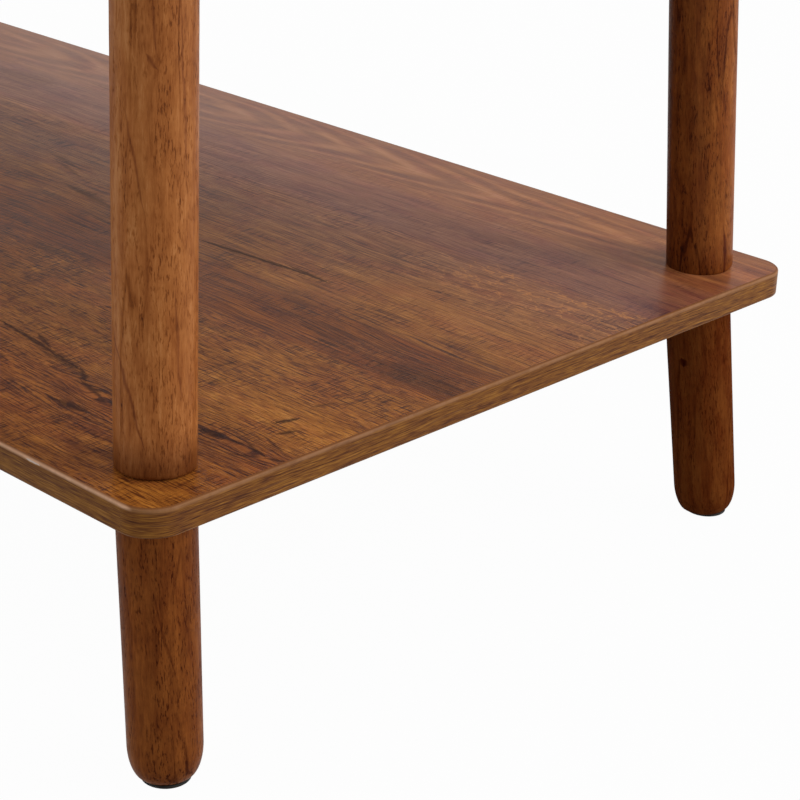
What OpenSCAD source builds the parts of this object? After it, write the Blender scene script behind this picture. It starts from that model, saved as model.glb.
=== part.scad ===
// Coffee table with a lower shelf, on eight turned legs that lean outwards.
// The origin is on the floor under the middle of the table.
// +X runs along the table, -Y is the front, +Z is up. Millimetres.
// Four upper legs stand between the shelf and the top, and four lower legs
// carry the shelf. At each corner one bolt clamps the shelf between its legs.

/* [Boards] */
// Height of the table
table_h = 457; // [400:1:560]
// Length of the top and of the shelf
board_l = 1016; // [900:1:1300]
// Depth of the top and of the shelf, front to back
board_w = 508; // [420:1:650]
// Thickness of each board, with the decor sheets on both faces
board_t = 15.5; // [15:0.5:22]
// Radius of the boards' corners, outside the edge band
corner_r = 19; // [8:1:40]
// Thickness of the edge band
band_t = 1.5; // [1.3:0.1:3]
// Rounding of the edge band's two arrises
band_round = 1.2; // [0.3:0.1:1.2]

/* [Legs] */
// Diameter of the turned legs
leg_d = 40; // [34:1:50]
// Middle of a leg at the shelf, measured in from the board's end
leg_inset_x = 40; // [30:1:80]
// Middle of a leg at the shelf, measured in from the board's long edge
leg_inset_y = 39; // [30:1:80]
// Height of the shelf's underside over the floor
floor_gap = 146; // [110:1:180]
// Lean of the upper legs along the table, in degrees
upper_lean_x = 3; // [0:0.1:6]
// Lean of the upper legs across the table, in degrees
upper_lean_y = 3; // [0:0.1:6]
// Lean of the lower legs along the table, in degrees
lower_lean_x = 6.4; // [0:0.1:9]
// Lean of the lower legs across the table, in degrees
lower_lean_y = 3.4; // [0:0.1:6]
// Rounding of the upper legs' ends
end_round = 3; // [1:0.5:5]

/* [Feet] */
// Diameter of a lower leg where its rounded foot starts
foot_d = 38; // [30:1:50]
// Height of the rounded foot, from its flat tip
foot_round_h = 18.5; // [10:0.5:30]
// Diameter of the foot's flat tip
foot_tip_d = 22; // [16:1:28]
// Diameter of the glide pad under the foot
pad_d = 25.5; // [16:0.5:30]
// Thickness of the glide pad
pad_t = 1.8; // [1:0.1:4]

/* [Fittings] */
// Thread diameter of the bolts that join the legs to the boards
bolt_d = 8; // [6:1:10]
// Depth of a bolt's wood thread in a leg
bolt_wood_l = 32; // [20:1:45]
// Length of a bolt's machine thread past the shelf, in the upper leg
bolt_grip_l = 14; // [8:1:20]
// Outer diameter of the threaded insert in an upper leg
insert_d = 12; // [11:0.5:16]
// Length of the threaded insert
insert_l = 18; // [14:1:25]
// Side of the square steel plate under the top
plate_w = 58; // [56:1:76]
// Thickness of the steel plate
plate_t = 2.5; // [2:0.1:4]
// Corner radius of the steel plate
plate_r = 6; // [2:0.5:9]
// Outer diameter of the threaded boss pressed into the plate
boss_d = 13; // [12:0.5:16]
// Height of the threaded boss over the plate
boss_h = 8; // [5:0.5:10]
// Shank diameter of the plate's wood screws
screw_d = 4; // [3:0.5:5]
// Length of the wood screws, head to tip
screw_l = 13; // [8:0.5:15]
// Head diameter of the wood screws
screw_head_d = 7.5; // [6:0.5:8.5]
// Middle of a screw hole, measured in from the plate's two edges
screw_inset = 8; // [6:0.5:9]

/* [Clearances] */
// Radial gap round a bolt or a screw in the thread that holds it
thread_gap = 0.1; // [0.05:0.05:0.3]
// Radial gap round a bolt in the shelf's hole
shelf_hole_gap = 0.5; // [0.2:0.1:1]
// Radial gap round the plate's boss in the top's recess
recess_gap = 0.6; // [0.2:0.1:1]
// Gap past the tip of a bolt, a screw or a boss in its blind hole
tip_gap = 0.8; // [0.3:0.1:0.9]

/* [Hidden] */
$fn = 64;

// Heights over the floor
shelf_z = floor_gap;
shelf_top_z = shelf_z + board_t;
top_z = table_h - board_t;
plate_z = top_z - plate_t;

// Middle of a leg at the shelf, and how far the upper legs have moved in
// where they meet the steel plates
leg_x = board_l / 2 - leg_inset_x;
leg_y = board_w / 2 - leg_inset_y;
upper_rise = plate_z - shelf_top_z;
plate_x = leg_x - upper_rise * tan(upper_lean_x);
plate_y = leg_y - upper_rise * tan(upper_lean_y);

leg_r = leg_d / 2;
bolt_r = bolt_d / 2;

// Screw holes of a plate, measured out from its middle, and the 45 degree
// countersunk head that fills each
screw_pitch = plate_w / 2 - screw_inset;
screw_head_h = (screw_head_d - screw_d) / 2;

// Bores through two pieces: a bolt's thread and a screw's
bolt_bore_r = bolt_r + thread_gap;
screw_bore_r = screw_d / 2 + thread_gap;

// How far a cut runs out past the face that it opens
cut = 1;
// Straight steps in the curve of a foot
foot_steps = 10;

// Slope of a leg's axis against the vertical, both leans taken together
function lean_slope(lean_x, lean_y) = norm([tan(lean_x), tan(lean_y)]);

// Turns a vertical axis so that it leans in over the table as it rises
function lean_turn(lean_x, lean_y) = [atan(tan(lean_y) * cos(lean_x)), -lean_x, 0];

// Puts what is drawn for the back right corner at one of the four corners
module at_corner(side_x, side_y) {
    mirror([side_x < 0 ? 1 : 0, 0, 0])
        mirror([0, side_y < 0 ? 1 : 0, 0])
            children();
}

// Rounded rectangle, made of two bars and four discs so that it stays exact
module rounded_rectangle(size_x, size_y, radius) {
    square([size_x - 2 * radius, size_y], center = true);
    square([size_x, size_y - 2 * radius], center = true);
    for (side_x = [-1, 1], side_y = [-1, 1])
        translate([side_x * (size_x / 2 - radius), side_y * (size_y / 2 - radius)])
            circle(r = radius);
}

// The board inside its edge band, from z = 0 up
module board_core() {
    linear_extrude(board_t)
        rounded_rectangle(board_l - 2 * band_t, board_w - 2 * band_t, corner_r - band_t);
}

// Section of the edge band, from its glued face at x = 0 outwards
module band_section() {
    square([band_t - band_round, board_t]);
    translate([0, band_round]) square([band_t, board_t - 2 * band_round]);
    intersection() {
        square([band_t, board_t]);
        for (height = [band_round, board_t - band_round])
            translate([band_t - band_round, height]) circle(r = band_round, $fn = 32);
    }
}

// One straight run of the edge band, centred along X, with its glued face at y = 0
module band_run(length) {
    rotate([90, 0, 90])
        linear_extrude(length, center = true)
            band_section();
}

// Edge band round a board: four straight runs and four turned corners
module edge_band() {
    straight_x = board_l - 2 * corner_r;
    straight_y = board_w - 2 * corner_r;
    for (turn = [0, 180]) {
        rotate([0, 0, turn])
            translate([0, board_w / 2 - band_t, 0])
                band_run(straight_x);
        rotate([0, 0, turn - 90])
            translate([0, board_l / 2 - band_t, 0])
                band_run(straight_y);
    }
    for (side_x = [-1, 1], side_y = [-1, 1])
        at_corner(side_x, side_y)
            translate([straight_x / 2, straight_y / 2, 0])
                rotate_extrude(angle = 90)
                    translate([corner_r - band_t, 0])
                        band_section();
}

module table_top() {
    color("saddlebrown")
        difference() {
            translate([0, 0, top_z]) board_core();
            for (side_x = [-1, 1], side_y = [-1, 1])
                at_corner(side_x, side_y)
                    translate([plate_x, plate_y, top_z]) {
                        translate([0, 0, -cut])
                            cylinder(r = boss_d / 2 + recess_gap, h = boss_h + tip_gap + cut);
                        at_plate_screws()
                            translate([0, 0, -cut])
                                cylinder(r = screw_bore_r, h = screw_l - plate_t + tip_gap + cut);
                    }
        }
}

module table_top_edge_band() {
    color("peru") translate([0, 0, top_z]) edge_band();
}

module shelf() {
    color("saddlebrown")
        difference() {
            translate([0, 0, shelf_z]) board_core();
            for (side_x = [-1, 1], side_y = [-1, 1])
                at_corner(side_x, side_y)
                    translate([leg_x, leg_y, shelf_z - cut])
                        cylinder(r = bolt_r + shelf_hole_gap, h = board_t + 2 * cut);
        }
}

module shelf_edge_band() {
    color("peru") translate([0, 0, shelf_z]) edge_band();
}

// Keeps what is drawn between two heights, round a leg that leans by this slope
module trimmed_flat(low, high, slope) {
    rise = high - low;
    half_w = leg_d + rise * slope;
    intersection() {
        children();
        translate([leg_x - half_w, leg_y - half_w, low])
            cube([2 * half_w, 2 * half_w, rise]);
    }
}

// Half section of an upper leg. Its ends reach past the boards just far enough
// for a flat seat over the whole of the leg's end when they are trimmed.
module upper_leg_section(length) {
    square([leg_r - end_round, length]);
    translate([0, end_round]) square([leg_r, length - 2 * end_round]);
    for (height = [end_round, length - end_round])
        intersection() {
            translate([leg_r - end_round, height]) circle(r = end_round);
            square([leg_r, length]);
        }
}

module upper_leg() {
    slope = lean_slope(upper_lean_x, upper_lean_y);
    overshoot = (leg_r - end_round) * slope;
    length = upper_rise * norm([1, slope]) + 2 * overshoot;
    color("sienna")
        difference() {
            trimmed_flat(shelf_top_z, plate_z, slope)
                translate([leg_x, leg_y, shelf_top_z])
                    rotate(lean_turn(upper_lean_x, upper_lean_y))
                        translate([0, 0, -overshoot])
                            rotate_extrude()
                                upper_leg_section(length);
            translate([leg_x, leg_y, shelf_top_z - cut]) {
                cylinder(d = insert_d, h = insert_l + cut);
                cylinder(r = bolt_bore_r, h = max(insert_l, bolt_grip_l) + tip_gap + cut);
            }
            translate([plate_x, plate_y, plate_z - bolt_wood_l - tip_gap])
                cylinder(r = bolt_bore_r, h = bolt_wood_l + tip_gap + cut);
        }
}

// Half section of a lower leg: a slight taper, then a foot rounded as a quarter
// of an ellipse down to its flat tip. Height 0 is the tip.
module lower_leg_section(length) {
    tip_r = foot_tip_d / 2;
    shoulder_r = foot_d / 2 - tip_r;
    foot = [
        for (step = [0 : foot_steps])
            let (angle = 90 * step / foot_steps)
            [tip_r + shoulder_r * sin(angle), foot_round_h * (1 - cos(angle))]
    ];
    polygon(concat([[0, 0]], foot, [[leg_r, length], [0, length]]));
}

module lower_leg() {
    slope = lean_slope(lower_lean_x, lower_lean_y);
    stretch = norm([1, slope]);
    tip_overshoot = foot_tip_d / 2 * slope;
    down = (shelf_z - pad_t) * stretch + tip_overshoot;
    length = down + leg_r * slope;
    color("sienna")
        difference() {
            trimmed_flat(pad_t, shelf_z, slope)
                translate([leg_x, leg_y, shelf_z])
                    rotate(lean_turn(lower_lean_x, lower_lean_y))
                        translate([0, 0, -down])
                            rotate_extrude()
                                lower_leg_section(length);
            translate([leg_x, leg_y, shelf_z - bolt_wood_l - tip_gap])
                cylinder(r = bolt_bore_r, h = bolt_wood_l + tip_gap + cut);
        }
}

// Black glide pad, flat on the floor under the foot's tip
module glide_pad() {
    drop = shelf_z - pad_t;
    color("black")
        translate([
            leg_x + drop * tan(lower_lean_x),
            leg_y + drop * tan(lower_lean_y),
            0
        ])
            cylinder(d = pad_d, h = pad_t);
}

// Hanger bolt: a pointed wood thread below z = 0 and a machine thread above it
module hanger_bolt(machine_l) {
    point_h = bolt_r;
    point_r = bolt_r / 3;
    translate([0, 0, -bolt_wood_l]) {
        cylinder(r1 = point_r, r2 = bolt_r, h = point_h);
        translate([0, 0, point_h])
            cylinder(r = bolt_r, h = bolt_wood_l + machine_l - point_h);
    }
}

// Bolt that stands in the lower leg and goes up through the shelf into the
// upper leg's insert
module shelf_bolt() {
    color("silver")
        translate([leg_x, leg_y, shelf_z])
            hanger_bolt(board_t + bolt_grip_l);
}

// Threaded insert, flush with the upper leg's lower end
module leg_insert() {
    color("goldenrod")
        translate([leg_x, leg_y, shelf_top_z])
            difference() {
                cylinder(d = insert_d, h = insert_l);
                translate([0, 0, -cut])
                    cylinder(r = bolt_bore_r, h = insert_l + 2 * cut);
            }
}

// Bolt that stands in the upper leg's head and is turned into the plate's boss
module top_bolt() {
    color("silver")
        translate([plate_x, plate_y, plate_z])
            hanger_bolt(plate_t + boss_h);
}

// Puts what is drawn at the origin on the plate's four screw holes
module at_plate_screws() {
    for (side_x = [-1, 1], side_y = [-1, 1])
        translate([side_x * screw_pitch, side_y * screw_pitch, 0])
            children();
}

// Steel plate that a leg is turned onto, with its boss let into the top
module top_plate() {
    color("dimgray")
        translate([plate_x, plate_y, plate_z])
            difference() {
                union() {
                    linear_extrude(plate_t) rounded_rectangle(plate_w, plate_w, plate_r);
                    cylinder(d = boss_d, h = plate_t + boss_h);
                }
                translate([0, 0, -cut])
                    cylinder(r = bolt_bore_r, h = plate_t + boss_h + 2 * cut);
                at_plate_screws() {
                    translate([0, 0, -cut])
                        cylinder(r = screw_bore_r, h = plate_t + 2 * cut);
                    cylinder(
                        r1 = screw_head_d / 2 + thread_gap,
                        r2 = screw_bore_r,
                        h = screw_head_h
                    );
                }
            }
}

// Countersunk wood screw, head down and flush with the plate
module wood_screw() {
    tip_h = screw_d / 2;
    tip_d = screw_d / 4;
    cylinder(d1 = screw_head_d, d2 = screw_d, h = screw_head_h);
    translate([0, 0, screw_head_h])
        cylinder(d = screw_d, h = screw_l - screw_head_h - tip_h);
    translate([0, 0, screw_l - tip_h])
        cylinder(d1 = screw_d, d2 = tip_d, h = tip_h);
}

module plate_screws() {
    color("darkgray")
        for (side_x = [-1, 1], side_y = [-1, 1])
            at_corner(side_x, side_y)
                translate([plate_x, plate_y, plate_z])
                    at_plate_screws() wood_screw();
}

table_top();
table_top_edge_band();
shelf();
shelf_edge_band();

at_corner(1, -1) upper_leg();  // upper_leg_front_right
at_corner(1, 1) upper_leg();  // upper_leg_back_right
at_corner(-1, -1) upper_leg();  // upper_leg_front_left
at_corner(-1, 1) upper_leg();  // upper_leg_back_left

at_corner(1, -1) lower_leg();  // lower_leg_front_right
at_corner(1, 1) lower_leg();  // lower_leg_back_right
at_corner(-1, -1) lower_leg();  // lower_leg_front_left
at_corner(-1, 1) lower_leg();  // lower_leg_back_left

at_corner(1, -1) glide_pad();  // glide_pad_front_right
at_corner(1, 1) glide_pad();  // glide_pad_back_right
at_corner(-1, -1) glide_pad();  // glide_pad_front_left
at_corner(-1, 1) glide_pad();  // glide_pad_back_left

at_corner(1, -1) shelf_bolt();  // shelf_bolt_front_right
at_corner(1, 1) shelf_bolt();  // shelf_bolt_back_right
at_corner(-1, -1) shelf_bolt();  // shelf_bolt_front_left
at_corner(-1, 1) shelf_bolt();  // shelf_bolt_back_left

at_corner(1, -1) leg_insert();  // leg_insert_front_right
at_corner(1, 1) leg_insert();  // leg_insert_back_right
at_corner(-1, -1) leg_insert();  // leg_insert_front_left
at_corner(-1, 1) leg_insert();  // leg_insert_back_left

at_corner(1, -1) top_bolt();  // top_bolt_front_right
at_corner(1, 1) top_bolt();  // top_bolt_back_right
at_corner(-1, -1) top_bolt();  // top_bolt_front_left
at_corner(-1, 1) top_bolt();  // top_bolt_back_left

at_corner(1, -1) top_plate();  // top_plate_front_right
at_corner(1, 1) top_plate();  // top_plate_back_right
at_corner(-1, -1) top_plate();  // top_plate_front_left
at_corner(-1, 1) top_plate();  // top_plate_back_left

plate_screws();
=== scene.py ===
# Looks of the coffee table with a lower shelf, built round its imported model.
# Metres: +X runs along the table, -Y is its front, +Z is up, origin on the floor under the middle.
# Grain, print and wear are in millimetres, and angles in the settings are degrees.
import math
import random

import bmesh
import bpy
from mathutils import Matrix, Vector


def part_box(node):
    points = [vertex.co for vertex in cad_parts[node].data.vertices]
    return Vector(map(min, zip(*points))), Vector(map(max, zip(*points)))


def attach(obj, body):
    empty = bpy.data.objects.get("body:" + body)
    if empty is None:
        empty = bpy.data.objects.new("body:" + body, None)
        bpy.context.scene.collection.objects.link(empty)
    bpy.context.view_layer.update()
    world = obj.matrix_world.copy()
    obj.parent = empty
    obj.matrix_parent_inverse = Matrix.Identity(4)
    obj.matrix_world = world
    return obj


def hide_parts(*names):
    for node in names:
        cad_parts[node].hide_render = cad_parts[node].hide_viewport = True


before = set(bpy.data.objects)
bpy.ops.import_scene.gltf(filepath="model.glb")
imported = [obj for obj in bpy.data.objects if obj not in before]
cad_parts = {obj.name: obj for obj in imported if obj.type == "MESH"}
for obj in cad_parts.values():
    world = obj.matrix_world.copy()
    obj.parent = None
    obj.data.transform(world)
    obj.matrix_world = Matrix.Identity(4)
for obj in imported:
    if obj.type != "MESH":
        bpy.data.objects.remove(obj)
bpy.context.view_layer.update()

random.seed(7)


# Camera, at the photograph's place and angle
cameraLook = {
    "place": (1.18570, -0.81892, 0.60019),
    "azimuth": 132.906,   # of the look direction, from +X towards +Y
    "dip": 23.2765,       # below the horizon
    "roll": 2.2353,
    "lens": 97.73,
    "sensor": 36,
}


def makeCamera():
    look = cameraLook
    turn, dip, roll = (math.radians(look[angle]) for angle in ("azimuth", "dip", "roll"))
    forward = Vector((math.cos(dip) * math.cos(turn), math.cos(dip) * math.sin(turn), -math.sin(dip)))
    sideways = Vector((math.sin(turn), -math.cos(turn), 0))
    plumb = sideways.cross(forward)
    right = math.cos(roll) * sideways + math.sin(roll) * plumb
    up = math.cos(roll) * plumb - math.sin(roll) * sideways
    view = bpy.data.cameras.new("photoCamera")
    view.lens = look["lens"]
    view.sensor_width = look["sensor"]
    holder = bpy.data.objects.new("photoCamera", view)
    bpy.context.scene.collection.objects.link(holder)
    holder.matrix_world = (
        Matrix.Translation(look["place"]) @ Matrix((right, up, -forward)).transposed().to_4x4()
    )
    bpy.context.scene.camera = holder


makeCamera()
bpy.context.scene.view_settings.view_transform = "Standard"
print("camera set")


# Small helpers for shader nodes. Cycles works nodes out in the order that they are made, and holds only
# so many values at once, so each helper makes what it needs just before it is used.
def feed(tree, socket, value):
    # a node's output is linked, anything else becomes the socket's own value
    if isinstance(value, bpy.types.NodeSocket):
        tree.links.new(value, socket)
    else:
        socket.default_value = value


def calc(tree, operation, *values, clamp=False):
    node = tree.nodes.new("ShaderNodeMath")
    node.operation = operation
    node.use_clamp = clamp
    for socket, value in zip(node.inputs, values):
        feed(tree, socket, value)
    return node.outputs[0]


def times(tree, first, second):
    return calc(tree, "MULTIPLY", first, second)


def total(tree, *values):
    result = values[0]
    for value in values[1:]:
        result = calc(tree, "ADD", result, value)
    return result


def squareSum(tree, first, second):
    return total(tree, times(tree, first, first), times(tree, second, second))


def swing(tree, value, amount, middle=0.5):
    # a 0 to 1 value becomes minus to plus amount
    return times(tree, calc(tree, "SUBTRACT", value, middle), 2 * amount)


def ease(tree, value, low, high, toLow=0.0, toHigh=1.0):
    # soft step from low to high
    node = tree.nodes.new("ShaderNodeMapRange")
    node.interpolation_type = "SMOOTHSTEP"
    for label, number in (("Value", value), ("From Min", low), ("From Max", high),
                          ("To Min", toLow), ("To Max", toHigh)):
        feed(tree, node.inputs[label], number)
    return node.outputs["Result"]


def vectorCalc(tree, operation, *values):
    node = tree.nodes.new("ShaderNodeVectorMath")
    node.operation = operation
    for socket, value in zip(node.inputs, values):
        feed(tree, socket, value)
    return node.outputs["Value" if operation == "DOT_PRODUCT" else "Vector"]


def cloud(tree, place, size, shift=(0, 0, 0), detail=2.0, roughness=0.5):
    # noise whose grains have a size for each axis
    sized = vectorCalc(tree, "MULTIPLY_ADD", place, [1 / number for number in size], shift)
    node = tree.nodes.new("ShaderNodeTexNoise")
    tree.links.new(sized, node.inputs["Vector"])
    node.inputs["Scale"].default_value = 1
    node.inputs["Detail"].default_value = detail
    node.inputs["Roughness"].default_value = roughness
    return node.outputs[0]


def ramp(tree, value, stops):
    node = tree.nodes.new("ShaderNodeValToRGB")
    feed(tree, node.inputs[0], value)
    elements = node.color_ramp.elements
    while len(elements) > 1:
        elements.remove(elements[-1])
    elements[0].position = stops[0][0]
    elements[0].color = (*stops[0][1], 1)
    for position, colour in stops[1:]:
        elements.new(position).color = (*colour, 1)
    return node.outputs[0]


def level(tree, value, stops):
    # a ramp of plain numbers
    return ramp(tree, value, [(position, (number,) * 3) for position, number in stops])


def shareOf(tree, place, reach):
    # a place about the middle becomes a share of the reach, as ramps want it
    return total(tree, calc(tree, "DIVIDE", place, reach), 0.5)


def overReach(stops, reach):
    return [(0.5 + place / reach, value) for place, value in stops]


def mixColour(tree, factor, first, second, blend="MIX"):
    node = tree.nodes.new("ShaderNodeMix")
    node.data_type = "RGBA"
    node.blend_type = blend
    for index, value in ((0, factor), (6, first), (7, second)):
        if isinstance(value, tuple):
            value = (*value, 1)
        feed(tree, node.inputs[index], value)
    return node.outputs[2]


def parted(tree, vector):
    node = tree.nodes.new("ShaderNodeSeparateXYZ")
    feed(tree, node.inputs[0], vector)
    return node.outputs[0], node.outputs[1], node.outputs[2]


def joined(tree, x, y, z):
    node = tree.nodes.new("ShaderNodeCombineXYZ")
    for socket, value in zip(node.inputs, (x, y, z)):
        feed(tree, socket, value)
    return node.outputs[0]


def newGroup(name, inputs, outputs):
    tree = bpy.data.node_groups.new(name, "ShaderNodeTree")
    for label, kind, value in inputs:
        socket = tree.interface.new_socket(label, in_out="INPUT", socket_type="NodeSocket" + kind)
        if value is not None:
            socket.default_value = value
    for label, kind in outputs:
        tree.interface.new_socket(label, in_out="OUTPUT", socket_type="NodeSocket" + kind)
    return tree, tree.nodes.new("NodeGroupInput").outputs, tree.nodes.new("NodeGroupOutput").inputs


def useGroup(tree, group, **values):
    node = tree.nodes.new("ShaderNodeGroup")
    node.node_tree = group
    for label, value in values.items():
        feed(tree, node.inputs[label], value)
    return node.outputs


def millimetres(tree, source):
    return vectorCalc(tree, "MULTIPLY", source, (1000, 1000, 1000))


def newMaterial(name, constants):
    material = bpy.data.materials.new(name)
    material.use_nodes = True
    tree = material.node_tree
    shader = tree.nodes["Principled BSDF"]
    for label, value in constants.items():
        shader.inputs[label].default_value = value
    place = millimetres(tree, tree.nodes.new("ShaderNodeTexCoord").outputs["Object"])
    return material, tree, shader, place


def emboss(tree, shader, height, distance):
    node = tree.nodes.new("ShaderNodeBump")
    node.inputs["Distance"].default_value = distance
    feed(tree, node.inputs["Height"], height)
    tree.links.new(node.outputs[0], shader.inputs["Normal"])


def dress(piece, material):
    piece.data.materials.clear()
    piece.data.materials.append(material)


# Rub: faint smudges and hairline scuffs that every finish here shares
def makeRub():
    tree, put, give = newGroup(
        "rub",
        [("Place", "Vector", None), ("Size", "Float", 30.0)],
        [("Smudge", "Float"), ("Scuff", "Float")],
    )
    size = joined(tree, put["Size"], put["Size"], put["Size"])
    sized = vectorCalc(tree, "DIVIDE", put["Place"], size)
    smudge = cloud(tree, sized, (1, 1, 1), detail=4, roughness=0.6)
    scuff = cloud(tree, sized, (0.6, 0.012, 0.6), (4, 9, 2), detail=1)
    feed(tree, give["Smudge"], ease(tree, smudge, 0.35, 0.7))
    feed(tree, give["Scuff"], ease(tree, scuff, 0.7, 0.78))
    return tree


# Worn arris: where a corner is rubbed, by how near to it a place is
def makeWornArris():
    tree, put, give = newGroup(
        "wornArris",
        [("Place", "Vector", None), ("Nearness", "Float", 0.0), ("Amount", "Float", 0.5)],
        [("Mask", "Float")],
    )
    patchy = cloud(tree, put["Place"], (14, 14, 14), detail=5, roughness=0.7)
    edge = times(tree, put["Nearness"], ease(tree, patchy, 0.42, 0.62))
    feed(tree, give["Mask"], calc(tree, "MULTIPLY", edge, put["Amount"], clamp=True))
    return tree


# Knot: pushes the grain aside and darkens its own core
knotLook = {
    "pushFall": -0.12,     # how fast its push on the grain fades away from it
    "push": -0.85,
    "core": (0.95, 0.1),   # where its dark core begins and is full
    "nearFall": -0.03,     # how fast its surroundings fade
}


def makeKnot():
    look = knotLook
    tree, put, give = newGroup(
        "knot",
        [("Place", "Vector", None), ("Middle", "Vector", (0, 0, 0)), ("Long", "Float", 10.0),
         ("Wide", "Float", 5.0), ("Ragged", "Float", 0.0)],
        [("Push", "Float"), ("Core", "Float"), ("Near", "Float")],
    )
    away = vectorCalc(tree, "SUBTRACT", put["Place"], put["Middle"])
    u = calc(tree, "DIVIDE", vectorCalc(tree, "DOT_PRODUCT", away, (1, 0, 0)), put["Long"])
    v = calc(tree, "DIVIDE", vectorCalc(tree, "DOT_PRODUCT", away, (0, 1, 0)), put["Wide"])
    square = squareSum(tree, u, v)
    wide = calc(tree, "EXPONENT", times(tree, square, look["pushFall"]))
    push = times(tree, times(tree, v, wide), put["Wide"])
    feed(tree, give["Push"], times(tree, push, look["push"]))
    feed(tree, give["Core"], ease(tree, total(tree, square, put["Ragged"]), *look["core"]))
    feed(tree, give["Near"], calc(tree, "EXPONENT", times(tree, square, look["nearFall"])))
    return tree


# Stroke: a dark check, tick or vein. Along and Across are its directions, divided by half its size there
def makeStroke():
    tree, put, give = newGroup(
        "stroke",
        [("Place", "Vector", None), ("Middle", "Vector", (0, 0, 0)), ("Along", "Vector", (1, 0, 0)),
         ("Across", "Vector", (0, 1, 0)), ("Sway", "Float", 0.0)],
        [("Mask", "Float")],
    )
    away = vectorCalc(tree, "SUBTRACT", put["Place"], put["Middle"])
    u = calc(tree, "ABSOLUTE", vectorCalc(tree, "DOT_PRODUCT", away, put["Along"]))
    v = calc(tree, "ABSOLUTE", total(tree, vectorCalc(tree, "DOT_PRODUCT", away, put["Across"]), put["Sway"]))
    taper = calc(tree, "MAXIMUM", times(tree, ease(tree, u, 1.0, 0.2), 1.2), 0.05)
    across = ease(tree, v, taper, 0.0)
    feed(tree, give["Mask"], times(tree, across, ease(tree, u, 1.05, 0.75)))
    return tree


rub = makeRub()
wornArris = makeWornArris()
knot = makeKnot()
stroke = makeStroke()


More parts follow.
